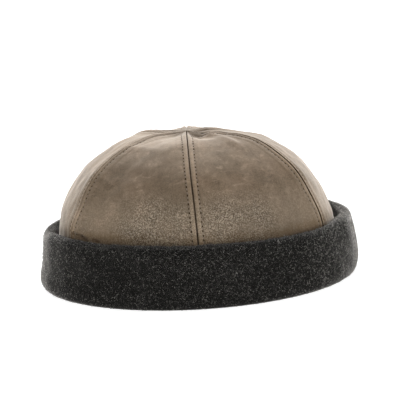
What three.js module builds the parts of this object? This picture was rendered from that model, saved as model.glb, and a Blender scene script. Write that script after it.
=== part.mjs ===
// A docker beanie: a close crown of six leather panels, sewn at their edges, standing in a turned-up band
// of thick wool. Millimetres, +Z up. The hat lies on its band, as on a table: the origin is at the middle
// of that face. -X is the wearer's front and -Y the wearer's left.

import * as THREE from "three";
import { mergeVertices } from "three/addons/utils/BufferGeometryUtils.js";

// The band: a wool strip that goes down inside, folds outward at the bottom and stands up again round the
// crown. Its plan is an ellipse. "in" is a distance in from the widest outline.
const BAND = {
  halfLength: 119.8,
  halfWidth: 103,
  height: 43, // top of the turned-up leg
  wall: 8.5, // two layers of thick wool
  edgeRound: 6, // height over which the turned-up edge rounds off outside
  edgeRoundWidth: 5,
  edgeRoundInside: 2.5,
  foldWall: 6, // at the bottom fold
  foldHeight: 8, // where the bottom fold runs out into the walls
  footIn: 5, // the flat foot that the hat rests on starts here
  footWidth: 8,
  insideWall: 4, // the sewn inner leg is pressed thinner
  insideHeight: 26,
  insideIn: 21.2, // the face against the head: 197 by 164 mm, 568 mm round, hat size 57
};
const BAND_STEPS_ROUND = 72;

// The turned-up leg by azimuth in degrees round the plan: lift is how far its edge stands above
// BAND.height, lean is how far its outer face leans in at the top, middle the same halfway up, and thicker
// what the edge has more than BAND.wall.
const BAND_EDGE = [
  { azimuth: 20, lift: 0.5, lean: 2.5, middle: -0.6, thicker: 2.2 },
  { azimuth: 80, lift: -0.4, lean: 4, middle: 1.2, thicker: 0 },
  { azimuth: 140, lift: -0.9, lean: 4.4, middle: 1.8, thicker: 0 },
  { azimuth: 182, lift: -0.7, lean: 3.9, middle: 2.6, thicker: 0 },
  { azimuth: 206, lift: 2.6, lean: 4, middle: 2.2, thicker: 0 },
  { azimuth: 235, lift: 2, lean: 3.6, middle: 1.2, thicker: 0 },
  { azimuth: 272, lift: 0.8, lean: 3.6, middle: 1.1, thicker: 0 },
  { azimuth: 312, lift: -0.6, lean: 3.4, middle: 0.8, thicker: 0.3 },
  { azimuth: 340, lift: 1.2, lean: 2.4, middle: -0.6, thicker: 2 },
];

// Level sections of the crown, from the sewn edge to the top. front, back and side are half-extents of
// the ellipse through the six seams, and shift is how far its middle lies to the front. flat is how far
// the leather between two seams has left that ellipse for the straight chord.
const CROWN = [
  { height: 12, front: 105.3, back: 105.3, side: 88.5, shift: 0, flat: 0 },
  { height: 26, front: 105.6, back: 105.9, side: 88.6, shift: -0.3, flat: 0.03 },
  { height: 40, front: 106.3, back: 105.8, side: 88.1, shift: -0.5, flat: 0.15 },
  { height: 55, front: 104.8, back: 102.8, side: 85, shift: 0, flat: 0.25 },
  { height: 70, front: 98.3, back: 96.7, side: 78.8, shift: 0.8, flat: 0.33 },
  { height: 82, front: 88.8, back: 89.2, side: 70.8, shift: 1.6, flat: 0.41 },
  { height: 92, front: 77.3, back: 78.2, side: 60.8, shift: 2.2, flat: 0.49 },
  { height: 100.3, front: 63.6, back: 62.8, side: 48.5, shift: 2.6, flat: 0.54 },
  { height: 107, front: 46, back: 38, side: 33.5, shift: 2.9, flat: 0.52 },
  { height: 109.7, front: 29, back: 19, side: 19, shift: 3.1, flat: 0.5 },
  { height: 109.9, front: 0, back: 0, side: 0, shift: 3.1, flat: 0.5 },
];

// The panels in order round the plan, from the seam at the wearer's left. sag is how far the middle of
// the panel sinks near the top of the crown, where six stiff seams hold the leather up. turn is how many
// degrees the seam where the panel starts is drawn round on the worn crown.
const PANELS = [
  { name: "panel_left_back", sag: 4.2, turn: 0 },
  { name: "panel_back", sag: 2.2, turn: 0 },
  { name: "panel_right_back", sag: 1.2, turn: 0 },
  { name: "panel_right_front", sag: 1, turn: 0 },
  { name: "panel_front", sag: 1.6, turn: 0 },
  { name: "panel_left_front", sag: 2.8, turn: 4 },
];
const TURN_UP = [0.2, 0.33]; // shares of the way up between which a seam turns
const TURN_BACK = [0.66, 0.92]; // and between which it turns back
const FIRST_SEAM = 270; // azimuth in degrees
const SAG_AT = 0.87; // share of the way up the panel
const SAG_REACH = 0.11;

// Where the worn leather of the top stands above or below that form, round these points of the plan.
const DENTS = [
  { x: 9, y: -8, reach: 8, rise: -1.4 },
  { x: 42, y: -24, reach: 19, rise: 2.1 },
  { x: 36, y: 23, reach: 21, rise: -1.9 },
  { x: -39, y: -21, reach: 13, rise: -1.8 },
  { x: -48, y: 19.5, reach: 11, rise: -2.3 },
  { x: 3, y: 26, reach: 7, rise: 0.9 },
  { x: -38, y: 13, reach: 9, rise: 1.2 },
  { x: 54, y: 22, reach: 9, rise: 0.8 },
];

const LEATHER = 1.3;
const ALLOWANCE = 7; // the panel's edge is turned in and topstitched this wide, so it is double there
const ALLOWANCE_STEP = 1.5; // the turned-in edge thins out over this width
const ALLOWANCE_MOST = 0.26; // near the top, the turned-in edge is at most this share of the panel's width
const ALLOWANCE_STEP_MOST = 0.34; // and ends, with its step, at this share
const DOUBLE = 1.1; // what the turned-in layer adds
const SEAM_GAP = 0.4;
const TIP = 0.993; // the panels stop this share of the way up, where six points meet
const ROWS = 20;
const MIDDLE_COLUMNS = 4;
const SLOPE_STEP = 0.004; // share of a panel over which its slope is taken
const PLAN_STEPS = 3600; // steps round the base ellipse when it is measured

const LEATHER_LOOK = { color: "#7e6f5d", roughness: 0.85, metalness: 0 };
const WOOL_LOOK = { color: "#2f302e", roughness: 1, metalness: 0 };

const radians = THREE.MathUtils.degToRad;

// A smooth curve through (x, y) points that never overshoots them.
function smoothThrough(xs, ys) {
  const slopes = xs.slice(1).map((x, i) => (ys[i + 1] - ys[i]) / (x - xs[i]));
  const tangents = ys.map((_, i) => {
    const before = slopes[Math.max(i - 1, 0)];
    const after = slopes[Math.min(i, slopes.length - 1)];
    return before * after <= 0 ? 0 : (2 * before * after) / (before + after);
  });
  return (x) => {
    let i = 0;
    while (i < xs.length - 2 && x > xs[i + 1]) {
      i++;
    }
    const width = xs[i + 1] - xs[i];
    const u = THREE.MathUtils.clamp((x - xs[i]) / width, 0, 1);
    const a = (1 + 2 * u) * (1 - u) ** 2;
    const b = u ** 2 * (3 - 2 * u);
    const c = u * (1 - u) ** 2 * width;
    const d = u ** 2 * (u - 1) * width;
    return a * ys[i] + b * ys[i + 1] + c * tangents[i] + d * tangents[i + 1];
  };
}

// The crown's tables as functions of the share of the way up, measured along the profile.
function crownProfile() {
  const along = [0];
  for (let i = 1; i < CROWN.length; i++) {
    const [low, high] = [CROWN[i - 1], CROWN[i]];
    const inward = (low.front + low.back - high.front - high.back) / 2;
    along.push(along[i - 1] + Math.hypot(inward, high.height - low.height));
  }
  const shares = along.map((length) => length / along.at(-1));
  const column = (name) => smoothThrough(shares, CROWN.map((row) => row[name]));
  return {
    height: column("height"),
    front: column("front"),
    back: column("back"),
    side: column("side"),
    shift: column("shift"),
    flat: column("flat"),
  };
}
const PROFILE = crownProfile();

// Azimuths that split the base ellipse into six equal lengths, so that the panels are equally wide.
function seamAzimuths() {
  const { side, back } = CROWN[0];
  const azimuthOf = (i) => radians(FIRST_SEAM) + (i / PLAN_STEPS) * 2 * Math.PI;
  const point = (i) => new THREE.Vector2(back * Math.cos(azimuthOf(i)), side * Math.sin(azimuthOf(i)));
  const lengths = [0];
  for (let i = 1; i <= PLAN_STEPS; i++) {
    lengths.push(lengths[i - 1] + point(i).distanceTo(point(i - 1)));
  }
  return [...PANELS.keys(), PANELS.length].map((k) => {
    const wanted = (k / PANELS.length) * lengths.at(-1);
    return azimuthOf(lengths.findIndex((length) => length >= wanted));
  });
}
const SEAMS = seamAzimuths();

// The azimuth of the seam where panel k starts, at a share of the way up.
function seamAzimuth(k, up) {
  const turned = THREE.MathUtils.smoothstep(up, ...TURN_UP);
  const turnedBack = THREE.MathUtils.smoothstep(up, ...TURN_BACK);
  return SEAMS[k] + radians(PANELS[k % PANELS.length].turn) * turned * (1 - turnedBack);
}

function onEllipse(azimuth, up) {
  const reach = Math.cos(azimuth) >= 0 ? PROFILE.back(up) : PROFILE.front(up);
  return new THREE.Vector3(
    reach * Math.cos(azimuth) - PROFILE.shift(up),
    PROFILE.side(up) * Math.sin(azimuth),
    PROFILE.height(up),
  );
}

function dentAt(x, y) {
  const rises = DENTS.map((dent) => {
    const away = Math.hypot(x - dent.x, y - dent.y) / dent.reach;
    return dent.rise * Math.exp(-away * away);
  });
  return rises.reduce((sum, rise) => sum + rise, 0);
}

// A point of the leather's outer face: across runs 0 to 1 over panel k, up runs 0 to 1 from the sewn edge
// to the top.
function onPanel(k, across, up) {
  const [from, to] = [seamAzimuth(k, up), seamAzimuth(k + 1, up)];
  const half = (to - from) / 2;
  const chordShare = 0.5 + Math.tan((2 * across - 1) * half) / Math.tan(half) / 2;
  const chord = onEllipse(from, up).lerp(onEllipse(to, up), chordShare);
  const point = onEllipse(from + (to - from) * across, up).lerp(chord, PROFILE.flat(up));
  const away = (up - SAG_AT) / SAG_REACH;
  point.z -= PANELS[k].sag * 4 * across * (1 - across) * Math.exp(-away * away);
  point.z += dentAt(point.x, point.y);
  return point;
}

// The outward normal of the seam where panel k starts, halfway between its two panels' own.
function seamNormal(k, up) {
  const [before, after] = [(k + PANELS.length - 1) % PANELS.length, k % PANELS.length];
  const [below, above] = [onPanel(after, 0, up - SLOPE_STEP), onPanel(after, 0, up + SLOPE_STEP)];
  const [left, right] = [onPanel(before, 1 - SLOPE_STEP, up), onPanel(after, SLOPE_STEP, up)];
  return right.sub(left).cross(above.sub(below)).normalize();
}

// A closed wall from a grid of outer points and the grid behind it. Rows run up, and each row's points
// run round.
function wallGeometry(outer, inner) {
  const rows = outer.length;
  const columns = outer[0].length;
  const positions = [...outer.flat(), ...inner.flat()].flatMap((p) => p.toArray());
  const at = (layer, row, column) => (layer * rows + row) * columns + column;
  const faces = [];
  const quad = (a, b, c, d) => faces.push(a, b, c, a, c, d);
  const [top, side] = [rows - 1, columns - 1];
  for (let r = 0; r < top; r++) {
    for (let c = 0; c < side; c++) {
      quad(at(0, r, c), at(0, r, c + 1), at(0, r + 1, c + 1), at(0, r + 1, c));
      quad(at(1, r, c), at(1, r + 1, c), at(1, r + 1, c + 1), at(1, r, c + 1));
    }
    quad(at(0, r, 0), at(0, r + 1, 0), at(1, r + 1, 0), at(1, r, 0));
    quad(at(0, r, side), at(1, r, side), at(1, r + 1, side), at(0, r + 1, side));
  }
  for (let c = 0; c < side; c++) {
    quad(at(0, 0, c), at(1, 0, c), at(1, 0, c + 1), at(0, 0, c + 1));
    quad(at(0, top, c), at(0, top, c + 1), at(1, top, c + 1), at(1, top, c));
  }
  const geometry = new THREE.BufferGeometry();
  geometry.setAttribute("position", new THREE.Float32BufferAttribute(positions, 3));
  geometry.setIndex(faces);
  geometry.computeVertexNormals();
  return geometry;
}

// Distances in from a panel's edge, as shares of its width, with columns at both sides of the turned-in
// edge's step.
function columnShares(width) {
  const turned = Math.min(ALLOWANCE / width, ALLOWANCE_MOST);
  const thinned = Math.min((ALLOWANCE + ALLOWANCE_STEP) / width, ALLOWANCE_STEP_MOST);
  const edge = [0, turned, thinned];
  const middle = [];
  for (let i = 1; i <= MIDDLE_COLUMNS; i++) {
    middle.push(thinned + ((1 - 2 * thinned) * i) / (MIDDLE_COLUMNS + 1));
  }
  return [...edge, ...middle, ...edge.map((share) => 1 - share).reverse()];
}

function panelGeometry(k) {
  const outer = [];
  const inner = [];
  for (let r = 0; r <= ROWS; r++) {
    const up = (TIP * r) / ROWS;
    const width = onPanel(k, 0, up).distanceTo(onPanel(k, 1, up));
    const shares = columnShares(width);
    const [fromNormal, toNormal] = [seamNormal(k, up), seamNormal(k + 1, up)];
    const outerRow = [];
    const innerRow = [];
    shares.forEach((share, column) => {
      const doubled = column < 2 || column > shares.length - 3;
      const inGap = share === 0 ? 1 : share === 1 ? -1 : 0;
      const across = share + (inGap * SEAM_GAP) / 2 / width;
      const point = onPanel(k, across, up);
      const depth = LEATHER + (doubled ? DOUBLE : 0);
      const outward = fromNormal.clone().lerp(toNormal, share).normalize();
      outerRow.push(point);
      innerRow.push(point.clone().addScaledVector(outward, -depth));
    });
    outer.push(outerRow);
    inner.push(innerRow);
  }
  return wallGeometry(outer, inner);
}

// A column of BAND_EDGE at an azimuth, with no corner anywhere round the band.
function edgeValue(column, azimuth) {
  const turn = (THREE.MathUtils.radToDeg(azimuth) + 720) % 360;
  const rows = BAND_EDGE;
  const after = rows.findIndex((row) => row.azimuth > turn);
  const high = rows[Math.max(after, 0)];
  const low = rows.at(Math.max(after, 0) - 1);
  const span = (high.azimuth - low.azimuth + 360) % 360;
  const share = ((turn - low.azimuth + 360) % 360) / span;
  return THREE.MathUtils.lerp(low[column], high[column], share * share * (3 - 2 * share));
}

// The band's closed section, as points of distance in and height, each with its shares of the edge's move,
// of the middle's and of the edge's thickening.
function bandSection() {
  const b = BAND;
  const points = [];
  const add = (distance, height, shares = {}) => {
    points.push({ distance, height, edge: 0, middle: 0, inner: 0, ...shares });
  };
  const arc = (cx, cz, rx, rz, from, to, steps, shares) => {
    for (let i = 0; i <= steps; i++) {
      const angle = radians(from + ((to - from) * i) / steps);
      add(cx + rx * Math.cos(angle), cz + rz * Math.sin(angle), shares);
    }
  };
  const innerFoot = b.footIn + b.footWidth;
  const channelEnd = b.insideIn - b.insideWall;
  const channelHalf = (channelEnd - b.wall) / 2;
  const [outside, inside] = [b.edgeRoundWidth, b.edgeRoundInside];
  const insideRound = b.insideWall / 2;
  const shoulder = b.height - b.edgeRound;
  const middle = (b.foldHeight + shoulder) / 2;
  arc(b.footIn, b.foldHeight, b.footIn, b.foldHeight, 270, 180, 4);
  add(0, middle, { middle: 1 });
  arc(outside, shoulder, outside, b.edgeRound, 180, 90, 4, { edge: 1 });
  arc(b.wall - inside, b.height - inside, inside, inside, 90, 0, 3, { edge: 1, inner: 1 });
  add(b.wall, middle, { middle: 1 });
  arc(b.wall + channelHalf, b.foldHeight, channelHalf, b.foldHeight - b.foldWall, 180, 360, 5);
  arc(channelEnd + insideRound, b.insideHeight - insideRound, insideRound, insideRound, 180, 0, 3);
  arc(innerFoot, b.foldHeight, b.insideIn - innerFoot, b.foldHeight, 0, -90, 3);
  return points;
}

function bandGeometry() {
  const section = bandSection();
  const positions = [];
  const faces = [];
  for (let i = 0; i < BAND_STEPS_ROUND; i++) {
    const azimuth = (i / BAND_STEPS_ROUND) * 2 * Math.PI;
    const [lift, lean] = [edgeValue("lift", azimuth), edgeValue("lean", azimuth)];
    const [middleLean, thicker] = [edgeValue("middle", azimuth), edgeValue("thicker", azimuth)];
    for (const { distance, height, edge, middle, inner } of section) {
      const inward = distance + edge * lean + middle * middleLean + inner * thicker;
      positions.push(
        (BAND.halfLength - inward) * Math.cos(azimuth),
        (BAND.halfWidth - inward) * Math.sin(azimuth),
        height + edge * lift,
      );
    }
  }
  const count = section.length;
  for (let i = 0; i < BAND_STEPS_ROUND; i++) {
    const next = (i + 1) % BAND_STEPS_ROUND;
    for (let j = 0; j < count; j++) {
      const [a, b] = [i * count + j, i * count + ((j + 1) % count)];
      const [c, d] = [next * count + ((j + 1) % count), next * count + j];
      faces.push(a, c, b, a, d, c);
    }
  }
  const geometry = new THREE.BufferGeometry();
  geometry.setAttribute("position", new THREE.Float32BufferAttribute(positions, 3));
  geometry.setIndex(faces);
  const merged = mergeVertices(geometry, 1e-4);
  merged.computeVertexNormals();
  return merged;
}

function namedMesh(name, geometry, look) {
  const mesh = new THREE.Mesh(geometry, new THREE.MeshStandardMaterial(look));
  mesh.name = name;
  return mesh;
}

const hat = new THREE.Group();
const crown = new THREE.Group();
PANELS.forEach(({ name }, k) => crown.add(namedMesh(name, panelGeometry(k), LEATHER_LOOK)));
hat.add(crown);
hat.add(namedMesh("band", bandGeometry(), WOOL_LOOK));

export default hat;
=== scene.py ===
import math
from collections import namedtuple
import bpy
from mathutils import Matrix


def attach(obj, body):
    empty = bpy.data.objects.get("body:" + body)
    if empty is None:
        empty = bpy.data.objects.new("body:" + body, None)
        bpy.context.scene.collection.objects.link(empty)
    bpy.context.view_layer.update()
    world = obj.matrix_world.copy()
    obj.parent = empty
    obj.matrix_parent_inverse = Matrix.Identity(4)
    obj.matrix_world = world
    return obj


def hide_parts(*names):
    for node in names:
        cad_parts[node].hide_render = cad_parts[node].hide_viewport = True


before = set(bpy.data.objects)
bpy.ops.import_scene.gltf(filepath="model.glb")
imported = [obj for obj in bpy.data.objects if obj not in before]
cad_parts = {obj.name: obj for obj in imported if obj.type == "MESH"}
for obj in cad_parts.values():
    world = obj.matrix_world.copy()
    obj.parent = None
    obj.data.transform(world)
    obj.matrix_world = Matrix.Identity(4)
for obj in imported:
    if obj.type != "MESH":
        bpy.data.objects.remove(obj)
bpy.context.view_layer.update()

# A docker beanie: six nubuck leather panels, topstitched along their seams, in a turned-up band of
# charcoal wool. Shapes are worked out in millimetres and become metres when their mesh is made. The
# camera, the materials and the stage are in metres.

from types import SimpleNamespace

import bpy
import numpy as np
from mathutils import Matrix, Vector

MM = 0.001
CIRCLE = 2 * math.pi

# The camera

IMAGE = 400  # pixels, square
SENSOR = 36
FOCAL = 1227  # pixels
CAMERA_AWAY = 0.925
CAMERA_ELEVATION = math.radians(12.3)
CAMERA_ROLL = math.radians(3.45)
CAMERA_REACH = 50
TARGET = Vector((0, 0, 0.04))
TARGET_SEEN_AT = (196.3, 221.7)  # pixel


def add_camera():
    sin_e, cos_e = math.sin(CAMERA_ELEVATION), math.cos(CAMERA_ELEVATION)
    right, up, back = Vector((1, 0, 0)), Vector((0, sin_e, cos_e)), Vector((0, -cos_e, sin_e))
    sin_r, cos_r = math.sin(CAMERA_ROLL), math.cos(CAMERA_ROLL)
    image_right = cos_r * right - sin_r * up
    image_up = sin_r * right + cos_r * up
    metres_per_pixel = CAMERA_AWAY / FOCAL
    place = TARGET + back * CAMERA_AWAY
    aim = TARGET + image_right * (IMAGE / 2 - TARGET_SEEN_AT[0]) * metres_per_pixel
    aim += image_up * (TARGET_SEEN_AT[1] - IMAGE / 2) * metres_per_pixel
    axis = (place - aim).normalized()
    across = image_up.cross(axis).normalized()
    camera = bpy.data.cameras.new("camera")
    camera.sensor_width = SENSOR
    camera.lens = FOCAL / IMAGE * SENSOR
    camera.clip_end = CAMERA_REACH
    holder = bpy.data.objects.new("camera", camera)
    turn = Matrix((across, axis.cross(across), axis)).transposed()
    holder.matrix_world = Matrix.Translation(place) @ turn.to_4x4()
    bpy.context.collection.objects.link(holder)
    bpy.context.scene.camera = holder


# Curves and vectors


def ease(value):
    share = np.clip(value, 0, 1)
    return share * share * (3 - 2 * share)


def bell(distance, reach):
    """1 at distance 0, fading away over reach."""
    return np.exp(-((distance / reach) ** 2))


def hump(share):
    """0 at both ends of a span and 1 in its middle."""
    return 4 * share * (1 - share)


def unit(vectors):
    return vectors / np.linalg.norm(vectors, axis=-1, keepdims=True)


def lengths_along(line):
    """Distance along a line of points from the first of them to each."""
    return np.concatenate([[0], np.cumsum(np.linalg.norm(np.diff(line, axis=0), axis=1))])


def waves(points, length, count, seed):
    """Smooth noise between about -1 and 1 at points, made of waves about length long."""
    rng = np.random.default_rng(seed)
    directions = unit(rng.normal(size=(count, 3)))
    numbers = directions * rng.uniform(0.6, 1.6, (count, 1)) * CIRCLE / length
    phases = rng.uniform(0, CIRCLE, count)
    return np.cos(points @ numbers.T + phases).sum(axis=-1) / math.sqrt(count)


def smooth_through(xs, ys):
    """A smooth curve through (x, y) points that never overshoots them."""
    slopes = np.diff(ys) / np.diff(xs)
    before = np.concatenate([slopes[:1], slopes])
    after = np.concatenate([slopes, slopes[-1:]])
    product = before * after
    total = np.where(product > 0, before + after, 1)
    tangents = np.where(product > 0, 2 * product / total, 0)

    def curve(x):
        i = np.clip(np.searchsorted(xs, x, side="left") - 1, 0, len(xs) - 2)
        width = xs[i + 1] - xs[i]
        u = np.clip((x - xs[i]) / width, 0, 1)
        value = (1 + 2 * u) * (1 - u) ** 2 * ys[i] + u**2 * (3 - 2 * u) * ys[i + 1]
        return value + (u * (1 - u) ** 2 * tangents[i] + u**2 * (u - 1) * tangents[i + 1]) * width

    return curve


# Meshes


def add_piece(name, points, faces, looks, attributes=None, look_of_face=None):
    """A smooth-shaded piece from points in millimetres and a list of face index arrays."""
    mesh = bpy.data.meshes.new(name)
    sizes = np.concatenate([np.full(len(group), group.shape[1]) for group in faces])
    corners = np.concatenate([group.ravel() for group in faces]).astype(np.int32)
    mesh.vertices.add(len(points))
    mesh.vertices.foreach_set("co", (points * MM).astype(np.float32).ravel())
    mesh.loops.add(len(corners))
    mesh.loops.foreach_set("vertex_index", corners)
    mesh.polygons.add(len(sizes))
    starts = np.concatenate([[0], np.cumsum(sizes)[:-1]])
    mesh.polygons.foreach_set("loop_start", starts.astype(np.int32))
    mesh.polygons.foreach_set("use_smooth", np.ones(len(sizes), dtype=bool))
    for key, values in (attributes or {}).items():
        mesh.attributes.new(key, "FLOAT", "POINT").data.foreach_set("value", values.astype(np.float32))
    mesh.update(calc_edges=True)
    for look in looks:
        mesh.materials.append(look)
    if look_of_face is not None:
        mesh.polygons.foreach_set("material_index", look_of_face.astype(np.int32))
    mesh.validate()
    piece = bpy.data.objects.new(name, mesh)
    bpy.context.collection.objects.link(piece)
    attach(piece, "root")
    return piece


# Node materials

MIX_SHARE, MIX_FIRST, MIX_SECOND, MIX_RESULT = 0, 6, 7, 2  # the Mix node's sockets for colours


class Material:
    """A node material under construction. Coordinates are the object's own, in metres."""

    def __init__(self, name):
        self.material = bpy.data.materials.new(name)
        self.material.use_nodes = True
        self.tree = self.material.node_tree
        self.shader = self.tree.nodes["Principled BSDF"]
        self.place = self.node("ShaderNodeTexCoord").outputs["Object"]

    def node(self, kind, **settings):
        node = self.tree.nodes.new(kind)
        for key, value in settings.items():
            setattr(node, key, value)
        return node

    def feed(self, socket, value):
        """Links value to socket if it comes from a node, and else sets it there."""
        if isinstance(value, bpy.types.NodeSocket):
            self.tree.links.new(value, socket)
        else:
            socket.default_value = value

    def math(self, operation, a, b=0.0):
        node = self.node("ShaderNodeMath", operation=operation)
        self.feed(node.inputs[0], a)
        self.feed(node.inputs[1], b)
        return node.outputs[0]

    def add(self, total, *others):
        for other in others:
            total = self.math("ADD", total, other)
        return total

    def times(self, product, *others):
        for other in others:
            product = self.math("MULTIPLY", product, other)
        return product

    def centred(self, value):
        return self.math("SUBTRACT", value, 0.5)

    def vector(self, operation, first, second=(0, 0, 0)):
        node = self.node("ShaderNodeVectorMath", operation=operation)
        self.feed(node.inputs[0], first)
        self.feed(node.inputs[1], second)
        return node.outputs

    def attribute(self, name):
        return self.node("ShaderNodeAttribute", attribute_name=name).outputs["Fac"]

    def part(self, axis):
        split = self.node("ShaderNodeSeparateXYZ")
        self.feed(split.inputs[0], self.place)
        return split.outputs[axis]

    def along_x(self):
        return self.part("X")

    def height(self):
        return self.part("Z")

    def stretched(self, x, y, z):
        return self.vector("MULTIPLY", self.place, (x, y, z))["Vector"]

    def away_from(self, point, mirrored=False):
        """Distance from a point, or from it and its mirror images in x and y."""
        place = self.vector("ABSOLUTE", self.place)["Vector"] if mirrored else self.place
        return self.vector("DISTANCE", place, point)["Value"]

    def noise(self, scale, detail=3.0, roughness=0.5, distortion=0.0, place=None):
        node = self.node("ShaderNodeTexNoise")
        self.feed(node.inputs["Vector"], place or self.place)
        self.feed(node.inputs["Scale"], scale)
        self.feed(node.inputs["Detail"], detail)
        self.feed(node.inputs["Roughness"], roughness)
        self.feed(node.inputs["Distortion"], distortion)
        return node.outputs["Fac"]

    def ease(self, value, low, high, out_low=0.0, out_high=1.0):
        """value eased from out_low at low to out_high at high."""
        node = self.node("ShaderNodeMapRange", interpolation_type="SMOOTHSTEP")
        self.feed(node.inputs["Value"], value)
        self.feed(node.inputs["From Min"], low)
        self.feed(node.inputs["From Max"], high)
        self.feed(node.inputs["To Min"], out_low)
        self.feed(node.inputs["To Max"], out_high)
        return node.outputs["Result"]

    def mix(self, share, first, second):
        node = self.node("ShaderNodeMix", data_type="RGBA")
        self.feed(node.inputs[MIX_SHARE], share)
        self.feed(node.inputs[MIX_FIRST], first)
        self.feed(node.inputs[MIX_SECOND], second)
        return node.outputs[MIX_RESULT]

    def scaled(self, colour, factor):
        node = self.node("ShaderNodeVectorMath", operation="SCALE")
        self.feed(node.inputs[0], colour)
        self.feed(node.inputs["Scale"], factor)
        return node.outputs[0]

    def bump(self, height_mm, strength=1.0):
        node = self.node("ShaderNodeBump")
        node.inputs["Strength"].default_value = strength
        node.inputs["Distance"].default_value = MM
        self.feed(node.inputs["Height"], height_mm)
        self.feed(self.shader.inputs["Normal"], node.outputs[0])

    def finish(self, colour, roughness, specular, sheen=0.0, sheen_roughness=0.5, sheen_tint=(1, 1, 1, 1)):
        inputs = self.shader.inputs
        self.feed(inputs["Base Color"], colour)
        self.feed(inputs["Roughness"], roughness)
        inputs["Specular IOR Level"].default_value = specular
        inputs["Sheen Weight"].default_value = sheen
        inputs["Sheen Roughness"].default_value = sheen_roughness
        inputs["Sheen Tint"].default_value = sheen_tint
        return self.material


# The crown's form

# How far the crown reaches to the front, the back and both sides, how far its middle is shifted to the
# front, and how far it is drawn flat between two seams
CROWN_COLUMNS = ("height", "front", "back", "side", "shift", "flat")
CROWN = np.array((
    (12, 105.3, 105.3, 88.5, 0, 0),
    (26, 105.6, 105.9, 88.6, -0.3, 0.03),
    (40, 106.3, 105.8, 88.1, -0.5, 0.15),
    (55, 104.8, 102.8, 85, 0, 0.25),
    (70, 98.3, 96.7, 78.8, 0.8, 0.33),
    (82, 88.8, 89.2, 70.8, 1.6, 0.41),
    (92, 77.3, 78.2, 60.8, 2.2, 0.49),
    (100.3, 63.6, 62.8, 48.5, 2.6, 0.54),
    (107, 46, 38, 33.5, 2.9, 0.52),
    (109.7, 29, 19, 19, 3.1, 0.5),
    (109.9, 0, 0, 0, 3.1, 0.5),
))
# turn is how far the seam where the panel starts is turned, in degrees.
Panel = namedtuple("Panel", "name sag turn")
PANELS = (
    Panel("left_back", 4.2, 0),
    Panel("back", 2.2, -1.3),
    Panel("right_back", 1.2, 0),
    Panel("right_front", 1, 0),
    Panel("front", 1.6, 0),
    Panel("left_front", 2.8, 4),
)
TURN_UP = (0.2, 0.33)  # shares of the way up between which a seam turns
TURN_BACK = (0.66, 0.92)  # and between which it turns back
SAG_AT = 0.87
SAG_REACH = 0.11
# x, y, reach, rise
DENTS = (
    (9, -8, 8, -1.4),
    (42, -24, 19, 2.1),
    (36, 23, 21, -1.9),
    (-39, -21, 13, -1.8),
    (-48, 19.5, 11, -2.3),
    (3, 26, 7, 0.9),
    (-38, 13, 9, 1.2),
    (54, 22, 9, 0.8),
)
FIRST_SEAM = math.radians(270)  # faces the camera
PLAN_STEPS = 3600
SLOPE_STEP = 0.004  # share of a panel over which a slope is measured


def crown_profile():
    """Each of the crown's columns as a curve over the share of the way up."""
    height, front, back = CROWN.T[:3]
    along = lengths_along(np.stack([(front + back) / 2, height], axis=1))
    return {name: smooth_through(along / along[-1], CROWN[:, i]) for i, name in enumerate(CROWN_COLUMNS)}


def seam_azimuths():
    """Where the seams stand, at equal distances round the crown's lowest line."""
    azimuths = FIRST_SEAM + np.arange(PLAN_STEPS + 1) / PLAN_STEPS * CIRCLE
    back, side = CROWN[0, 2:4]
    lengths = lengths_along(np.stack([back * np.cos(azimuths), side * np.sin(azimuths)], axis=1))
    wanted = np.arange(len(PANELS) + 1) / len(PANELS) * lengths[-1]
    return azimuths[np.searchsorted(lengths, wanted)]


PROFILE = crown_profile()
SEAMS = seam_azimuths()


def seam_azimuth(k, up):
    """Where the seam at the start of panel k stands at shares of the way up."""
    turned = ease((up - TURN_UP[0]) / (TURN_UP[1] - TURN_UP[0]))
    turned = turned * (1 - ease((up - TURN_BACK[0]) / (TURN_BACK[1] - TURN_BACK[0])))
    return SEAMS[k] + math.radians(PANELS[k % len(PANELS)].turn) * turned


def on_ellipse(azimuth, up):
    reach = np.where(np.cos(azimuth) >= 0, PROFILE["back"](up), PROFILE["front"](up))
    x = reach * np.cos(azimuth) - PROFILE["shift"](up)
    y = PROFILE["side"](up) * np.sin(azimuth)
    return np.stack([x, y, PROFILE["height"](up)], axis=-1)


def on_panel(k, across, up):
    """Points of panel k's even outer face, with across and up running 0 to 1."""
    start, end = seam_azimuth(k, up), seam_azimuth(k + 1, up)
    half = (end - start) / 2
    chord_share = (0.5 + np.tan((2 * across - 1) * half) / np.tan(half) / 2)[..., None]
    chord = on_ellipse(start, up) * (1 - chord_share) + on_ellipse(end, up) * chord_share
    flat = PROFILE["flat"](up)[..., None]
    points = on_ellipse(start + (end - start) * across, up) * (1 - flat) + chord * flat
    points[..., 2] -= PANELS[k].sag * hump(across) * bell(up - SAG_AT, SAG_REACH)
    for x, y, reach, rise in DENTS:
        points[..., 2] += rise * bell(np.hypot(points[..., 0] - x, points[..., 1] - y), reach)
    return points


def seam_normal(k, up):
    """The outward normal of the seam where panel k starts."""
    before, after = (k - 1) % len(PANELS), k % len(PANELS)
    at_seam = np.zeros_like(up)
    low, high = np.clip(up - SLOPE_STEP, 0, 1), np.clip(up + SLOPE_STEP, 0, 1)
    rise = on_panel(after, at_seam, high) - on_panel(after, at_seam, low)
    run = on_panel(after, at_seam + SLOPE_STEP, up) - on_panel(before, at_seam + 1 - SLOPE_STEP, up)
    return unit(np.cross(run, rise))


def outward(k, share, up):
    share = share[..., None]
    return unit(seam_normal(k, up) * (1 - share) + seam_normal(k + 1, up) * share)


def panel_width(k, up):
    ends = np.zeros_like(up)
    return np.linalg.norm(on_panel(k, ends + 1, up) - on_panel(k, ends, up), axis=-1)


def seam_lengths(k, ups):
    """Distance along the seam where panel k starts, from the sewn edge to each of ups."""
    return lengths_along(on_panel(k % len(PANELS), np.zeros_like(ups), ups))


# The band's form

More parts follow.
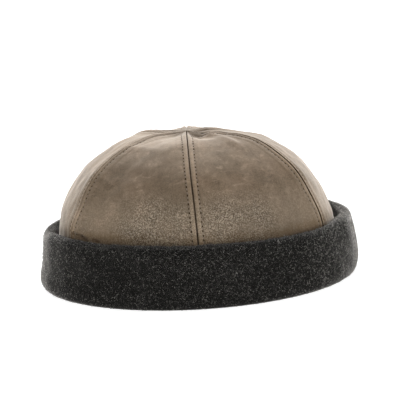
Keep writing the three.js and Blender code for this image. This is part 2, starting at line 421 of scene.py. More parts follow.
BAND_LENGTH = 119.8  # half
BAND_WIDTH = 103  # half
BAND_HEIGHT = 43
BAND_WALL = 8.5
EDGE_ROUND = 6  # the height over which the turned-up edge rounds off outside
EDGE_ROUND_WIDTH = 5
EDGE_ROUND_INSIDE = 2.5
FOLD_WALL = 6
FOLD_HEIGHT = 8
FOOT_IN = 5
FOOT_WIDTH = 8
INSIDE_WALL = 4
INSIDE_HEIGHT = 26
INSIDE_IN = 21.2
# Round the band: how far the turned-up edge is lifted and leans in, how far its middle leans in, how much
# thicker the edge is, and how far the outer face bulges low down
BAND_COLUMNS = ("azimuth", "lift", "lean", "middle_lean", "thicker", "bulge")
BAND_EDGE = np.array((
    (20, 0.5, 2.5, -0.3, 0.4, 0.7),
    (80, -0.4, 4, 1.2, 0, 0),
    (140, -0.9, 4.4, 1.8, 0, 0),
    (182, -0.7, 3.9, 2.6, -0.9, 0),
    (206, 2.6, 4, 2.2, -0.4, 0),
    (235, 2, 3.6, 1.2, 0, 0),
    (272, 0.8, 3.6, 1.1, 0, 0),
    (312, -0.6, 3.4, 0.8, 0.3, 0.2),
    (340, 1.2, 2.4, -0.3, 2, 0.7),
))
BULGE_HEIGHT = 11
BULGE_REACH = 6
BAND_AROUND = 300
BAND_ROUND_SECTION = 84
ARC_STEPS = 12
FACE_STEPS = 10


def band_edge(azimuth, name):
    """One of the band's columns at azimuths in radians."""
    turned = (360, 0, 0, 0, 0, 0)
    rows = np.concatenate([BAND_EDGE[-1:] - turned, BAND_EDGE, BAND_EDGE[:1] + turned])
    turn, values = rows[:, 0], rows[:, BAND_COLUMNS.index(name)]
    here = np.degrees(azimuth) % 360
    i = np.searchsorted(turn, here, side="right") - 1
    share = ease((here - turn[i]) / (turn[i + 1] - turn[i]))
    return values[i] * (1 - share) + values[i + 1] * share


def band_section():
    """The band's closed section: distance in, height, and shares of the edge's move, of the middle's, of
    the edge's thickening and of the low bulge."""
    corners = []

    def low_share(height):
        return bell(height - BULGE_HEIGHT, BULGE_REACH)

    def arc(cx, cz, rx, rz, start, end, edge=0, thicker=0, low=0):
        for angle in np.radians(np.linspace(start, end, ARC_STEPS + 1)):
            distance, height = cx + rx * math.cos(angle), cz + rz * math.sin(angle)
            corners.append((distance, height, edge, 0, thicker, low * low_share(height)))

    inner_foot = FOOT_IN + FOOT_WIDTH
    channel_end = INSIDE_IN - INSIDE_WALL
    channel_half = (channel_end - BAND_WALL) / 2
    inside_top = INSIDE_WALL / 2
    shoulder = BAND_HEIGHT - EDGE_ROUND
    arc(FOOT_IN, FOLD_HEIGHT, FOOT_IN, FOLD_HEIGHT, 270, 180, low=1)
    for up in np.linspace(0, 1, FACE_STEPS + 1)[1:-1]:
        height = FOLD_HEIGHT + up * (shoulder - FOLD_HEIGHT)
        corners.append((0, height, up**3, hump(up), 0, low_share(height)))
    arc(EDGE_ROUND_WIDTH, shoulder, EDGE_ROUND_WIDTH, EDGE_ROUND, 180, 90, edge=1)
    inner = EDGE_ROUND_INSIDE
    arc(BAND_WALL - inner, BAND_HEIGHT - inner, inner, inner, 90, 0, edge=1, thicker=1)
    corners.append((BAND_WALL, (FOLD_HEIGHT + shoulder) / 2, 0, 1, 0, 0))
    arc(BAND_WALL + channel_half, FOLD_HEIGHT, channel_half, FOLD_HEIGHT - FOLD_WALL, 180, 360)
    arc(channel_end + inside_top, INSIDE_HEIGHT - inside_top, inside_top, inside_top, 180, 0)
    arc(inner_foot, FOLD_HEIGHT, INSIDE_IN - inner_foot, FOLD_HEIGHT, 0, -90)
    corners = np.array(corners + corners[:1])
    lengths = lengths_along(corners[:, :2])
    wanted = np.arange(BAND_ROUND_SECTION) / BAND_ROUND_SECTION * lengths[-1]
    return np.stack([np.interp(wanted, lengths, column) for column in corners.T], axis=1)


def band_points():
    distance, height, edge, middle, inner_edge, low = band_section().T
    azimuth = (np.arange(BAND_AROUND) / BAND_AROUND * CIRCLE)[:, None]
    lift, lean, middle_lean, thicker, bulge = (band_edge(azimuth, name) for name in BAND_COLUMNS[1:])
    inward = distance + edge * lean + middle * middle_lean + inner_edge * thicker - low * bulge
    x = (BAND_LENGTH - inward) * np.cos(azimuth)
    y = (BAND_WIDTH - inward) * np.sin(azimuth)
    return np.stack([x, y, height + edge * lift], axis=-1)


# The leather

BROWN_DARK = (0.115, 0.083, 0.053, 1)
BROWN_PALE = (0.173, 0.123, 0.081, 1)
SCUFF = (0.285, 0.208, 0.147, 1)
SCRATCH = (0.35, 0.26, 0.185, 1)
LOW_BROWN = (0.146, 0.117, 0.085, 1)
BAND_SHADE_BROWN = (0.115, 0.075, 0.038, 1)
END_SHADE_BROWN = (0.095, 0.066, 0.038, 1)
FURROW_SHADE_BROWN = (0.035, 0.018, 0.009, 1)
HIGH_PAINTED_LIGHT = (0.165, 0.140, 0.114, 1)
TOP_PAINTED_SHEEN = (0.21, 0.176, 0.143, 1)
PEBBLE = (0.25, 0.215, 0.165, 1)
LEATHER_SHEEN = (1, 0.94, 0.87, 1)

# Areas of the leather, in pairs: where one is gone and where it is full
# LOW_AREA bounds the real pebbled grain and also the low leather's painted light
LOW_AREA = (0.088, 0.058)  # heights
# Painted light: the upper crown lighter and greyer
HIGH_LIGHT_AREA = (0.080, 0.097)
# Painted highlight and sheen on the crown's top, fuller towards negative x
TOP_SHEEN_AREA = (0.100, 0.108)
# The strip along each seam is lighter: ridge wear and painted highlight
STRIP_AREA = (0.107, 0.098)
TOP_SHEEN_TO_FRONT = (0.015, -0.015)  # along x
# Painted shade: the leather darker towards the end at negative x
END_SHADE_AREA = (-0.085, -0.100)
# Painted shade: the half at positive x darker
BACK_SHADE_AREA = (0, 0.03)
STRIP_STARTS = (0.4, 1.0)  # millimetres in from a seam
STRIP_ENDS = (3.4, 2.6)
# Painted shade on the leather just above the band
BAND_SHADE_AREA = (7, 0.5)  # millimetres above the band
BAND_SHADE_WANDER = 1.5
ROUGH_AT, ROUGH_AREA = (0.030, 0.083, 0.055), (0.038, 0.014)
# Painted shade round the apex
APEX_SHADE_AT, APEX_SHADE_AREA = (0.003, 0.003, 0.109), (0.02, 0.006)
BLOTCHY_AT, BLOTCHY_AREA = (0.026, -0.048, 0.097), (0.034, 0.010)
# place, distances at which a patch of painted shade is gone and full, and how much of the brightness it
# leaves
SHADE_PATCHES = (
    ((0.055, -0.073, 0.050), (0.050, 0.012), 0.86),
    ((-0.043, -0.046, 0.092), (0.030, 0.008), 0.87),
    ((0.024, -0.030, 0.102), (0.022, 0.006), 0.88),
)
APEX_SHADE_LEAVES = 0.68
BACK_SHADE_LEAVES = 0.94


def leather_areas(m):
    """How far each area reaches at a place of the leather, 0 to 1."""
    seam = m.attribute("seam")
    low = m.ease(m.height(), *LOW_AREA)
    patchy = m.ease(m.noise(40, detail=2), 0.36, 0.56, 0.6, 1)
    wander = m.ease(m.noise(120), 0.3, 0.7, -BAND_SHADE_WANDER, BAND_SHADE_WANDER)
    strip = m.times(m.ease(seam, *STRIP_STARTS), m.ease(seam, *STRIP_ENDS))
    return SimpleNamespace(
        low=low,
        rough=m.times(m.ease(m.away_from(ROUGH_AT, mirrored=True), *ROUGH_AREA, 0.2, 1), low, patchy),
        strip=m.times(strip, m.ease(m.height(), *STRIP_AREA)),
        apex_shade=m.ease(m.away_from(APEX_SHADE_AT, mirrored=True), *APEX_SHADE_AREA),
        rim=m.ease(m.add(m.attribute("above_band"), wander), *BAND_SHADE_AREA),
        high=m.ease(m.height(), *HIGH_LIGHT_AREA),
        top=m.times(m.ease(m.height(), *TOP_SHEEN_AREA), m.ease(m.along_x(), *TOP_SHEEN_TO_FRONT, 0.3, 1)),
        end=m.ease(m.along_x(), *END_SHADE_AREA),
        furrow=m.attribute("furrow"),
    )


def leather_material():
    m = Material("nubuck")
    areas = leather_areas(m)
    clouds = m.noise(34, detail=5, roughness=0.6, distortion=0.2)
    scuffs = m.ease(m.noise(75, detail=6, roughness=0.72, distortion=0.3), 0.5, 0.7)
    scratches = m.noise(170, roughness=0.6, distortion=0.6, place=m.stretched(0.45, 1, 1.6))
    nap = m.noise(450, detail=5, roughness=0.65)
    dust = m.noise(1350, detail=2, roughness=0.6)
    pebbles = m.ease(m.noise(1350, detail=2, distortion=0.6), 0.42, 0.64)
    blotches = m.centred(m.ease(m.noise(120, detail=4, roughness=0.6, distortion=0.4), 0.4, 0.6))
    speckle = m.noise(300, roughness=0.6)

    colour = m.mix(m.ease(clouds, 0.3, 0.7), BROWN_DARK, BROWN_PALE)
    for share, strength, tint in (
        (scuffs, 0.5, SCUFF),
        (m.ease(scratches, 0.58, 0.74), 0.35, SCRATCH),
        (areas.low, 0.45, LOW_BROWN),
        # painted shade: darker and browner just above the band
        (areas.rim, 0.55, BAND_SHADE_BROWN),
        # painted shade: darker towards the end at negative x
        (areas.end, 0.75, END_SHADE_BROWN),
        # painted shade in the furrows
        (areas.furrow, 0.85, FURROW_SHADE_BROWN),
        # painted light on the upper crown
        (areas.high, 0.3, HIGH_PAINTED_LIGHT),
        # painted highlight and sheen on the crown's top
        (areas.top, 0.5, TOP_PAINTED_SHEEN),
        (m.times(pebbles, areas.rough), 0.6, PEBBLE),
    ):
        colour = m.mix(m.times(share, strength), colour, tint)
    brightness = m.add(
        1.0,
        m.times(m.centred(nap), 0.7),
        m.times(m.centred(dust), 0.95),
        m.times(m.centred(pebbles), areas.rough, 1.15),
        m.times(m.centred(speckle), 0.35),
        m.times(blotches, m.ease(m.away_from(BLOTCHY_AT), *BLOTCHY_AREA, 0.06, 0.22)),
        # lighter strip along each seam: ridge wear and painted highlight
        m.times(areas.strip, 0.4),
        # painted light: the low leather made lighter, as if lit from the front and the floor
        m.times(areas.low, 0.5),
        # painted light on the upper crown
        m.times(areas.high, 0.3),
        # painted highlight and sheen on the crown's top
        m.times(areas.top, 0.25),
    )
    # painted shade round the apex
    brightness = m.times(brightness, m.ease(areas.apex_shade, 0, 1, 1, APEX_SHADE_LEAVES))
    # painted shade on the half at positive x
    brightness = m.times(brightness, m.ease(m.along_x(), *BACK_SHADE_AREA, 1, BACK_SHADE_LEAVES))
    for place, reach, leaves in SHADE_PATCHES:
        brightness = m.times(brightness, m.ease(m.away_from(place), *reach, 1, leaves))

    m.bump(m.add(m.times(nap, 0.10), m.times(dust, 0.03), m.times(pebbles, areas.rough, 0.22)))
    colour = m.scaled(colour, brightness)
    return m.finish(colour, 0.88, specular=0.15, sheen=0.5, sheen_roughness=0.35, sheen_tint=LEATHER_SHEEN)


SHADE_DARK = (0.022, 0.012, 0.006, 1)
SHADE_PALE = (0.055, 0.034, 0.019, 1)


def shade_material():
    """Painted shade for the rolled edges deep in a seam and for the needle holes."""
    m = Material("seam_shade")
    colour = m.mix(m.ease(m.noise(160, roughness=0.6), 0.35, 0.65), SHADE_DARK, SHADE_PALE)
    return m.finish(colour, 1.0, specular=0)


# What wear and sewing do to the leather's face

LEATHER = 1.3
ALLOWANCE = 7  # the turned-in edge
ALLOWANCE_STEP = 1.5
DOUBLE = 1.1
NARROW = 16  # a narrower part of a panel is sewn less deeply
# The seam where each panel starts: columns of painted shade on the panel before it and on that panel, how
# deep their edges roll down into the seam, how far in the stitch lines run on both, and the share of the
# way up to which the edges and the needle holes carry painted shade
SeamLook = namedtuple("SeamLook", "dark_columns roll stitch_in dark_up")
SEAM_LOOKS = (
    SeamLook((2, 2), 1.6, (3.6, 3.6), 1),
    SeamLook((2, 3), 1.6, (3.4, 3.4), 0.9),
    SeamLook((2, 2), 1.2, (3.6, 3.6), 0.66),
    SeamLook((2, 2), 1.2, (3.6, 3.6), 0.72),
    SeamLook((2, 2), 1.2, (3.6, 3.6), 0.66),
    SeamLook((1, 0), 0.7, (3.0, 2.8), 0.8),
)
ROLL_WIDTH = 1.1
PUFF = 0.4  # the strip between seam and stitches stands up
GROOVE_DEPTH = 0.35
GROOVE_WIDTH = 0.7
STEP_HEIGHT = 0.28
TUCK_HEIGHT = 0.16  # puckers that the thread pulls across its line
TUCK_REACH = 5
TUCK_WAVES = (8, 6, 3)  # length, number and seed
# rise, how much of it is left at a seam, and the length, number and seed of its waves
UNEVEN = (
    (0.55, 0.35, (42, 10, 1)),
    (0.16, 0.3, (14, 12, 2)),
)
UNEVEN_FROM = 14  # in from a seam, where the rise is full
# start, end, width, rise of small ridges and creases
CREASES = (
    ((2, -9, 108), (14, -15, 107), 2.2, 0.9),
    ((14, -15, 107), (31, -35, 103), 3.5, 1.2),
    ((-88.4, -46.3, 49.2), (-77, -57.4, 47.2), 1.3, 0.9),
    ((-45, -25, 103), (-20, -42, 102), 4, 0.7),
    ((-60, -45, 88), (-35, -58, 88), 5, -0.4),
    ((60, -45, 84), (35, -58, 90), 5, -0.4),
)
# start, end and width of sharp furrows, cut into the leather and darkened with painted shade
FURROWS = (
    ((-89.4, -46.3, 47.4), (-81.4, -54.2, 46.4), 0.8),
    ((-81.4, -54.2, 46.4), (-77.9, -57.6, 43.4), 1.0),
    ((-73, -61.3, 45.4), (-68.9, -64.4, 43.6), 0.8),
)
FURROW_DEPTH = 0.7


def near_segment(points, start, end):
    """Distance of points from the straight line between start and end."""
    start, end = np.array(start, dtype=float), np.array(end, dtype=float)
    span = end - start
    share = np.clip(((points - start) @ span) / (span @ span), 0, 1)
    return np.linalg.norm(points - start - share[..., None] * span, axis=-1)


def furrowed(points):
    """How near a furrow is: 1 on it and 0 away from it."""
    return sum(bell(near_segment(points, start, end), reach) for start, end, reach in FURROWS)


def doubled(edge):
    """1 where the turned-in edge lies behind the leather, and 0 further in."""
    return 1 - ease((edge - ALLOWANCE) / ALLOWANCE_STEP)


def leather_rise(points, edge, width, along, roll, stitch_in):
    """How far the leather stands above its even face. edge is the distance in from the nearest seam."""
    inner = ease(edge / UNEVEN_FROM)
    rise = -FURROW_DEPTH * furrowed(points)
    for height, at_seam, kind in UNEVEN:
        rise += height * waves(points, *kind) * (at_seam + (1 - at_seam) * inner)
    for start, end, reach, height in CREASES:
        rise += height * bell(near_segment(points, start, end), reach)
    sewn = -roll * (1 - np.clip(edge / ROLL_WIDTH, 0, 1)) ** 2
    sewn += PUFF * np.sin(math.pi * np.clip(edge / stitch_in, 0, 1))
    sewn -= GROOVE_DEPTH * bell(edge - stitch_in, GROOVE_WIDTH)
    sewn += STEP_HEIGHT * doubled(edge)
    tucks = TUCK_HEIGHT * waves(np.stack([along, 0 * along, 0 * along], axis=-1), *TUCK_WAVES)
    sewn += tucks * bell(edge - stitch_in, TUCK_REACH) * ease(edge / 2)
    return rise + sewn * np.clip(width / NARROW, 0, 1)


def seam_look(k, side):
    """How panel k looks along the seam where it starts, side 0, or ends, side 1."""
    look = SEAM_LOOKS[(k + side) % len(PANELS)]
    return look._replace(dark_columns=look.dark_columns[1 - side], stitch_in=look.stitch_in[1 - side])


def edge_share(edge, width):
    """The share of a panel's width that edge millimetres in is, drawn together where it is narrow."""
    t = edge / (width / 2)
    return 0.5 * t / (1 + t**4) ** 0.25


# Leather panels

EDGE_COLUMNS = np.array((
    0, 0.17, 0.35, 0.8, 1.3, 1.8, 2.4, 2.9, 3.25, 3.6, 3.95, 4.3, 4.9, 5.7, 6.5, 7, 7.5, 8, 8.5, 9.5,
))
MIDDLE_COLUMNS = 48
NEAR_BAND = (0.14, 0.27)  # shares of the way up where the leather comes out of the band
NEAR_TIP = 0.9965  # the last row stops short of the point in which a panel would end
PANEL_UPS = np.concatenate([
    np.linspace(0, NEAR_BAND[0], 8, endpoint=False),
    np.linspace(NEAR_BAND[0], NEAR_BAND[1], 24, endpoint=False),
    np.linspace(NEAR_BAND[1], NEAR_TIP, 88),
])
EDGE_GAP = 0.04  # between a panel's outermost column and the seam


def panel_grid(k):
    """The outer grid's shares, heights, edge distances and seam lengths, rows by columns, and the widths of
    its rows."""
    width = panel_width(k, PANEL_UPS)[:, None]
    near = edge_share(EDGE_COLUMNS[None, :], width)
    near[:, 0] = EDGE_GAP / width[:, 0]
    last = near[:, -1:]
    middle = last + (1 - 2 * last) * np.linspace(0, 1, MIDDLE_COLUMNS + 2)[1:-1]
    shares = np.concatenate([near, middle, 1 - near[:, ::-1]], axis=1)
    deep = EDGE_COLUMNS[-1] + (np.minimum(middle, 1 - middle) - last) * width
    rim = np.repeat(EDGE_COLUMNS[None, :], len(PANEL_UPS), axis=0)
    edge = np.concatenate([rim, deep, rim[:, ::-1]], axis=1)
    start, end = (seam_lengths(k + side, PANEL_UPS)[:, None] for side in (0, 1))
    ups = np.repeat(PANEL_UPS[:, None], shares.shape[1], axis=1)
    return shares, ups, edge, np.where(shares < 0.5, start, end), width


def wall_faces(rows, columns):
    """Quads of a closed wall: an outer grid, then the same grid behind it."""
    layer = rows * columns
    index = np.arange(layer).reshape(rows, columns)
    a, b, c, d = index[:-1, :-1], index[:-1, 1:], index[1:, 1:], index[1:, :-1]
    outer = np.stack([a, b, c, d], axis=-1).reshape(-1, 4)
    inner = np.stack([a, d, c, b], axis=-1).reshape(-1, 4) + layer
    strips = []
    for line in (index[0, ::-1], index[:, 0], index[-1, :], index[::-1, -1]):
        start, end = line[:-1], line[1:]
        strips.append(np.stack([start, end, end + layer, start + layer], axis=-1))
    return np.concatenate([outer, inner, *strips])


def add_panel(k, looks):
    shares, ups, edge, lengths, width = panel_grid(k)
    start, end = seam_look(k, 0), seam_look(k, 1)
    even = on_panel(k, shares, ups)
    direction = outward(k, shares, ups)
    roll = np.where(shares < 0.5, start.roll, end.roll)
    stitch_in = np.where(shares < 0.5, start.stitch_in, end.stitch_in)
    outer = even + direction * leather_rise(even, edge, width, lengths, roll, stitch_in)[..., None]
    depth = LEATHER + DOUBLE * doubled(edge) * np.clip(width / NARROW, 0, 1)
    inner = even - direction * depth[..., None]
    points = np.concatenate([outer.reshape(-1, 3), inner.reshape(-1, 3)])
    azimuth = np.arctan2(outer[..., 1], outer[..., 0])
    above_band = outer[..., 2] - BAND_HEIGHT - band_edge(azimuth, "lift")
    # The furrow attribute says where the furrows' painted shade goes
    attributes = {"seam": edge, "above_band": above_band, "furrow": furrowed(even)}
    attributes = {key: np.tile(values.ravel(), 2) for key, values in attributes.items()}
    rows, columns = shares.shape
    faces = wall_faces(rows, columns)
    column = np.min(faces % columns, axis=1)
    up = PANEL_UPS[np.min(faces // columns % rows, axis=1)]
    shaded = (column < start.dark_columns) & (up < start.dark_up)
    shaded |= (column >= columns - 1 - end.dark_columns) & (up < end.dark_up)
    name = PANELS[k].name
    piece = add_piece("leather_" + name, points, [faces], looks, attributes, shaded)
    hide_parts("panel_" + name)


# Topstitching

STITCH_PITCH = 3.2
STITCHES_FROM = 20  # along the seam, out of sight behind the band
STITCHES_END = 7  # short of the top
THREAD_DARK = (0.16, 0.12, 0.08, 1)
THREAD_PALE = (0.30, 0.24, 0.18, 1)
THREAD = 0.24  # radius
THREAD_TAPER = np.array((0.55, 0.95, 1, 0.95, 0.55))
THREAD_STATIONS = np.linspace(0, 1, len(THREAD_TAPER))
THREAD_SIDES = 6
THREAD_SHARE = 0.68  # of the pitch; the rest is sunk in the holes
THREAD_RISE = 0.3
THREAD_SUNK = 0.14
HOLE_LENGTH = 1.5
HOLE_WIDTH = 1.05
HOLE_RIM = 0.2  # stands this far off the bottom of the groove
HOLE_RISE = 0.24
HOLE_DEPTH = 0.3
HOLE_SIDES = 8
HOLE_SIZE = 0.92  # of the full length and width
HOLE_VARIATION = 0.25
HOLE_LIMITS = (0.55, 1.25)
HOLE_WAVES = (6, 8, 31)  # length, number and seed


def thread_material():
    m = Material("thread")
    twist = m.noise(3000, detail=2)
    colour = m.mix(twist, THREAD_DARK, THREAD_PALE)
    m.bump(m.times(twist, 0.1))
    return m.finish(colour, 0.7, specular=0.3, sheen=0.3, sheen_roughness=0.4)


def tubes(centres, normals, radii, sides):
    """Closed tubes. centres is tubes by stations by 3, and radii is by station."""
    count, stations, _ = centres.shape
    forward = unit(np.gradient(centres, axis=1))
    aside = unit(np.cross(forward, normals))
    upward = np.cross(aside, forward)
    angles = np.arange(sides) / sides * CIRCLE
    ring = aside[:, :, None] * np.cos(angles)[:, None] + upward[:, :, None] * np.sin(angles)[:, None]
    points = (centres[:, :, None] + ring * radii[:, None, None]).reshape(-1, 3)
    index = np.arange(count * stations * sides).reshape(count, stations, sides)
    turned = np.roll(index, -1, axis=2)
    walls = np.stack([index[:, :-1], turned[:, :-1], turned[:, 1:], index[:, 1:]], axis=-1)
    ends = np.concatenate([index[:, 0, ::-1], index[:, -1]])
    return points, [walls.reshape(-1, 4), ends]


def stitch_line(k, side, along):
    """Points on the leather at distances along a stitch line, and the outward direction there."""
    stitch_in = seam_look(k, side).stitch_in
    up = np.interp(along, seam_lengths(k + side, PANEL_UPS), PANEL_UPS)
    width = panel_width(k, up)
    share = edge_share(stitch_in, width)
    share = 1 - share if side else share
    even = on_panel(k, share, up)
    direction = outward(k, share, up)
    rise = leather_rise(even, np.full_like(share, stitch_in), width, along, 0, stitch_in)
    return even + direction * rise[..., None], direction


def stitch_places(k, side):
    length = seam_lengths(k + side, PANEL_UPS)[-1]
    first = math.ceil(STITCHES_FROM / STITCH_PITCH)
    last = math.floor((length - STITCHES_END) / STITCH_PITCH)
    return np.arange(first, last) * STITCH_PITCH


def add_stitches(k, material):
    centres, normals = [], []
    reach = (THREAD_STATIONS - 0.5) * STITCH_PITCH * THREAD_SHARE
    bow = np.sin(math.pi * THREAD_STATIONS) * THREAD_RISE - THREAD_SUNK
    for side in (0, 1):
        points, direction = stitch_line(k, side, stitch_places(k, side)[:, None] + reach)
        centres.append(points + direction * bow[:, None])
        normals.append(direction)
    radii = THREAD * THREAD_TAPER
    points, faces = tubes(np.concatenate(centres), np.concatenate(normals), radii, THREAD_SIDES)
    add_piece("stitches_" + PANELS[k].name, points, faces, [material])


def hole_points(k, side):
    """Needle holes by points: each has its middle, its rim and its bottom."""
    places = stitch_places(k, side) + STITCH_PITCH / 2
    dark_to = np.interp(seam_look(k, side).dark_up, PANEL_UPS, seam_lengths(k + side, PANEL_UPS))
    places = places[places < dark_to]
    middle, direction = stitch_line(k, side, places)
    ahead, _ = stitch_line(k, side, places + HOLE_LENGTH)
    forward = unit(ahead - middle)
    aside = np.cross(direction, forward)
    angles = np.arange(HOLE_SIDES) / HOLE_SIDES * CIRCLE
    ring = forward[:, None] * (np.cos(angles) * HOLE_LENGTH / 2)[:, None]
    ring = ring + aside[:, None] * (np.sin(angles) * HOLE_WIDTH / 2)[:, None]
    size = np.clip(HOLE_SIZE + HOLE_VARIATION * waves(middle, *HOLE_WAVES), *HOLE_LIMITS)
    upward = direction[:, None]
    layers = (upward * HOLE_RISE, ring * size[:, None, None] + upward * HOLE_RIM, -upward * HOLE_DEPTH)
    return np.concatenate([middle[:, None] + layer for layer in layers], axis=1)


def add_holes(k, material):
    """Needle holes between the stitches: dark ovals of painted shade pressed into the leather."""
    points = np.concatenate([hole_points(k, side) for side in (0, 1)])
    starts = (np.arange(len(points)) * (HOLE_SIDES + 2))[:, None, None]
    here = np.arange(HOLE_SIDES)
    after = (here + 1) % HOLE_SIDES
    top = np.stack([0 * here, here + 1, after + 1], axis=-1)
    bottom = np.stack([0 * here + HOLE_SIDES + 1, after + 1, here + 1], axis=-1)
    faces = (np.concatenate([top, bottom])[None] + starts).reshape(-1, 3)
    add_piece("needle_holes_" + PANELS[k].name, points.reshape(-1, 3), [faces], [material])


# The wool band

WOOL_DARK = (0.0035, 0.0035, 0.0032, 1)
WOOL_GREY = (0.015, 0.0147, 0.0133, 1)
WOOL_PALE = (0.08, 0.078, 0.071, 1)
WOOL_SHEEN = (1, 0.96, 0.92, 1)
LEG_INSIDE = (0.94, 0.915)  # shares of the band's outline
LEG_BELOW = (0.0436, 0.0415)  # heights
LEG_LEAVES = 0.25  # of the brightness
SUNK = 0.6  # the nap's fibres stand up to the band's face from a surface this far below it
FREE_ABOVE = 6  # below this height the lumps fade out towards the floor
# rise, and the length, number and seed of its waves
LUMPS = (
    (0.4, (34, 10, 11)),
    (0.1, (10, 14, 12)),
    (0.1, (4, 16, 13)),
)


def leg_light(m):
    """1, but less on the turned-up leg's face towards the leather, where little light reaches."""
    plan = m.stretched(1 / (BAND_LENGTH * MM), 1 / (BAND_WIDTH * MM), 0)
    from_axis = m.vector("LENGTH", plan)["Value"]
    inside = m.times(m.ease(from_axis, *LEG_INSIDE), m.ease(m.height(), *LEG_BELOW))
    return m.ease(inside, 0, 1, 1, LEG_LEAVES)


def wool_material():
    m = Material("wool")
    streaks = m.noise(900, detail=4, roughness=0.65, distortion=1.2)
    fine = m.noise(2200, roughness=0.7, distortion=1.0)
    mottle = m.ease(m.noise(60), 0.3, 0.7, 0.85, 1.15)
    colour = m.mix(m.ease(streaks, 0.4, 0.68), WOOL_DARK, WOOL_GREY)
    colour = m.mix(m.ease(fine, 0.56, 0.72, 0, 0.6), colour, WOOL_PALE)
    colour = m.scaled(m.scaled(colour, mottle), leg_light(m))
    m.bump(m.add(m.times(streaks, 0.3), m.times(fine, 0.15)), 0.55)
    return m.finish(colour, 0.95, specular=0.03, sheen=0.72, sheen_roughness=0.32, sheen_tint=WOOL_SHEEN)


def grid_normals(points):
    """Outward normals of a grid that closes on itself both ways."""
    along = np.roll(points, -1, axis=0) - np.roll(points, 1, axis=0)
    across = np.roll(points, -1, axis=1) - np.roll(points, 1, axis=1)
    return unit(np.cross(along, across))


def felted(points, normals):
    """The band's surface under its nap, lumpy where it stands free of the floor."""
    lumps = sum(rise * waves(points, *kind) for rise, kind in LUMPS)
    free = ease(points[..., 2] / FREE_ABOVE)
    moved = points + normals * ((lumps - SUNK) * free)[..., None]
    moved[..., 2] = np.maximum(moved[..., 2], 0)
    return moved


def ring_faces(rows, columns):
    """Quads of a grid that closes on itself both ways."""
    index = np.arange(rows * columns).reshape(rows, columns)
    after = np.roll(index, -1, axis=0)
    faces = np.stack([index, after, np.roll(after, -1, axis=1), np.roll(index, -1, axis=1)], axis=-1)
    return faces.reshape(-1, 4)


def add_band(material):
    points = band_points()
    normals = grid_normals(points)
    points = felted(points, normals)
    faces = ring_faces(*points.shape[:2])
    piece = add_piece("wool_band", points.reshape(-1, 3), [faces], [material])
    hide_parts("band")
    return points, normals


# Wool fibres

FIBRE_DARK = (0.004, 0.004, 0.004, 1)
FIBRE_GREY = (0.03, 0.0293, 0.027, 1)
FIBRE_PALE = (0.75, 0.72, 0.65, 1)
# Painted light: more fibres are pale towards the band's ends
BAND_MIDDLE = -0.010  # place along x
LIT_ENDS = (0.070, 0.110)  # distances from there
LEAST_SHADE = 0.74  # that makes a fibre pale
LESS_AT_LIT_ENDS = 0.26
FIBRE_RADIUS = (0.055, 0.095)
FIBRE_BEND = 0.22  # to the side; this and the lift are shares of the length
FIBRE_LIFT = (0.02, 0.42)
MIDDLE_LIFT = 0.8  # of the end's
START_SUNK = 0.1
END_DROP = 0.05
STRAY_SHARE = 0.018
STRAY_LONGER = 2.4
OFF_FLOOR = 0.02
FIBRE_ANGLES = np.radians((90, 210, 330))
# Points of a fibre: its start, three round its middle, and its end
FIBRE_FACES = np.array(((0, 2, 1), (0, 3, 2), (0, 1, 3), (4, 1, 2), (4, 2, 3), (4, 3, 1)))
FIBRE_TIP = (0, 0.5, 0.5, 0.5, 1)


def fibre_material():
    m = Material("wool_fibre")
    shade = m.attribute("shade")
    along_fibre = m.ease(m.attribute("tip"), 0.1, 0.9, 0.15, 1)
    # painted light: more pale fibres towards the band's ends
    lit_end = m.ease(m.math("ABSOLUTE", m.add(m.along_x(), -BAND_MIDDLE)), *LIT_ENDS)
    least = m.math("SUBTRACT", LEAST_SHADE, m.times(lit_end, LESS_AT_LIT_ENDS))
    colour = m.mix(m.ease(shade, 0.2, 0.8), FIBRE_DARK, FIBRE_GREY)
    pale = m.times(m.ease(shade, least, m.add(least, 0.2)), along_fibre)
    colour = m.scaled(m.mix(pale, colour, FIBRE_PALE), leg_light(m))
    return m.finish(colour, 0.65, specular=0.1, sheen=0.35, sheen_roughness=0.3, sheen_tint=WOOL_SHEEN)


def fibre_roots(nap, rng, points, normals):
    """Places on the band's surface, drawn by area where the nap is wanted, and the normals there."""
    side_a = np.roll(points, -1, axis=0) - points
    side_b = np.roll(points, -1, axis=1) - points
    area = (np.linalg.norm(np.cross(side_a, side_b), axis=-1) * nap.wanted(points)).ravel()
    drawn = rng.choice(len(area), nap.count, p=area / area.sum())
    a, b = rng.random((2, nap.count, 1))
    grids = (points, side_a, side_b, normals)
    corner, side_a, side_b, normal = (grid.reshape(-1, 3)[drawn] for grid in grids)
    return corner + a * side_a + b * side_b, normal


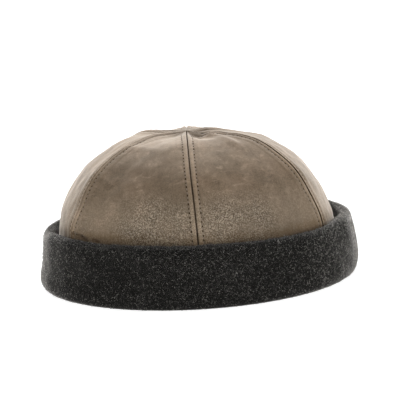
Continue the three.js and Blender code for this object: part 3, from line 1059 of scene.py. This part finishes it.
def add_nap(nap, points, normals, material):
    """Short bent fibres on the band's surface."""
    rng = np.random.default_rng(nap.seed)
    each = (nap.count, 1)
    root, normal = fibre_roots(nap, rng, points, normals)
    heading = rng.normal(size=(nap.count, 3))
    heading = unit(heading - normal * (heading * normal).sum(axis=1, keepdims=True))
    aside = np.cross(normal, heading)
    stray = rng.random(each) < STRAY_SHARE
    length = rng.uniform(*nap.lengths, each) * np.where(stray, STRAY_LONGER, 1)
    bend = length * rng.normal(0, FIBRE_BEND, each)
    lift = length * rng.uniform(*FIBRE_LIFT, each)
    radius = rng.uniform(*FIBRE_RADIUS, each)
    middle = root + aside * bend + normal * lift * MIDDLE_LIFT
    start = root - heading * length / 2 - normal * START_SUNK
    end = root + heading * length / 2 + normal * (lift - END_DROP)
    ring = [middle + radius * (math.cos(t) * aside + math.sin(t) * normal) for t in FIBRE_ANGLES]
    fibres = np.stack([start, *ring, end], axis=1)
    fibres[..., 2] = np.maximum(fibres[..., 2], OFF_FLOOR)
    starts = len(FIBRE_TIP) * np.arange(nap.count)[:, None, None]
    faces = (FIBRE_FACES[None] + starts).reshape(-1, 3)
    shade = np.repeat(rng.random(nap.count) * nap.palest, len(FIBRE_TIP))
    attributes = {"shade": shade, "tip": np.tile(FIBRE_TIP, nap.count)}
    add_piece(nap.name, fibres.reshape(-1, 3), [faces], [material], attributes)


# Where a nap is wanted

NEAR_OUTLINE = 0.875  # of the band's outline, inside the turned-up leg
OFF_FOLD = 0.3  # height above the face that the hat rests on
TOP_OF_EDGE = 1.5  # down from the band's height
LONG_SIDES = (0.45, 0.75)  # shares of the band's half width where they start and are full
THIN = 0.35  # share of the fibres on the leg against the head


def near_outline(points):
    return np.hypot(points[..., 0] / BAND_LENGTH, points[..., 1] / BAND_WIDTH) > NEAR_OUTLINE


def outside(points):
    """The turned-up leg's outer face, its edge and the fold."""
    return near_outline(points) * (points[..., 2] > OFF_FOLD)


def near_edge(points):
    """The turned-up edge along both long sides."""
    across = np.abs(points[..., 1]) / BAND_WIDTH
    on_side = ease((across - LONG_SIDES[0]) / (LONG_SIDES[1] - LONG_SIDES[0]))
    return near_outline(points) * (points[..., 2] > BAND_HEIGHT - TOP_OF_EDGE) * on_side


def everywhere(points):
    """All faces, thinly on the leg against the head."""
    return np.where(near_outline(points), 1.0, THIN) * (points[..., 2] > OFF_FOLD)


Nap = namedtuple("Nap", "name wanted seed count lengths palest")
NAPS = (
    Nap("nap_first", outside, 21, 28000, (0.9, 2.3), 1),
    Nap("nap_second", outside, 22, 28000, (0.9, 2.3), 1),
    Nap("nap_third", everywhere, 23, 28000, (0.9, 2.3), 1),
    # nap_edge's fibres are real fuzz, kept darker than the rest (palest 0.8) as painted shade along the
    # edge
    Nap("nap_edge", near_edge, 24, 9000, (1.2, 2.8), 0.8),
)

# The stage

FLOOR_HALF = 9
FLOOR_WHITE = (0.35, 0.35, 0.35, 1)
FLOOR_GLOW = 0.95  # the floor is a light table
WHITE = (1, 1, 1, 1)
WORLD_STRENGTH = 0.2
# name, strength, spread in degrees, direction towards the light
LIGHTS = (
    ("top", 6.4, 50, (0, 0.8, 1)),
    ("left", 0.25, 40, (-1, 0.3, 0.05)),
    ("right", 1.95, 40, (1, 0.03, 0.05)),
    ("front", 0.96, 40, (-0.1, -1, 0.25)),
)


def add_floor():
    mesh = bpy.data.meshes.new("floor")
    corners = ((-1, -1), (1, -1), (1, 1), (-1, 1))
    mesh.from_pydata([(x * FLOOR_HALF, y * FLOOR_HALF, 0) for x, y in corners], [], [(0, 1, 2, 3)])
    floor = bpy.data.objects.new("floor", mesh)
    bpy.context.collection.objects.link(floor)
    m = Material("floor_white")
    m.finish(FLOOR_WHITE, 1.0, specular=0)
    m.shader.inputs["Emission Color"].default_value = WHITE
    m.shader.inputs["Emission Strength"].default_value = FLOOR_GLOW
    mesh.materials.append(m.material)


def add_light():
    world = bpy.data.worlds.new("studio")
    world.use_nodes = True
    background = world.node_tree.nodes["Background"]
    background.inputs["Color"].default_value = WHITE
    background.inputs["Strength"].default_value = WORLD_STRENGTH
    bpy.context.scene.world = world
    for name, energy, spread, towards in LIGHTS:
        light = bpy.data.lights.new(name, "SUN")
        light.energy = energy
        light.angle = math.radians(spread)
        lamp = bpy.data.objects.new(name, light)
        lamp.rotation_mode = "QUATERNION"
        lamp.rotation_quaternion = Vector(towards).to_track_quat("Z", "Y")
        bpy.context.collection.objects.link(lamp)
    settings = bpy.context.scene.view_settings
    settings.view_transform = "Standard"
    settings.look = "None"


# The making

add_camera()
add_floor()
add_light()
nubuck, seam_shade, thread = leather_material(), shade_material(), thread_material()
for number in range(len(PANELS)):
    add_panel(number, [nubuck, seam_shade])
    add_stitches(number, thread)
    add_holes(number, seam_shade)
band_surface, band_outward = add_band(wool_material())
fibre = fibre_material()
for nap in NAPS:
    add_nap(nap, band_surface, band_outward, fibre)
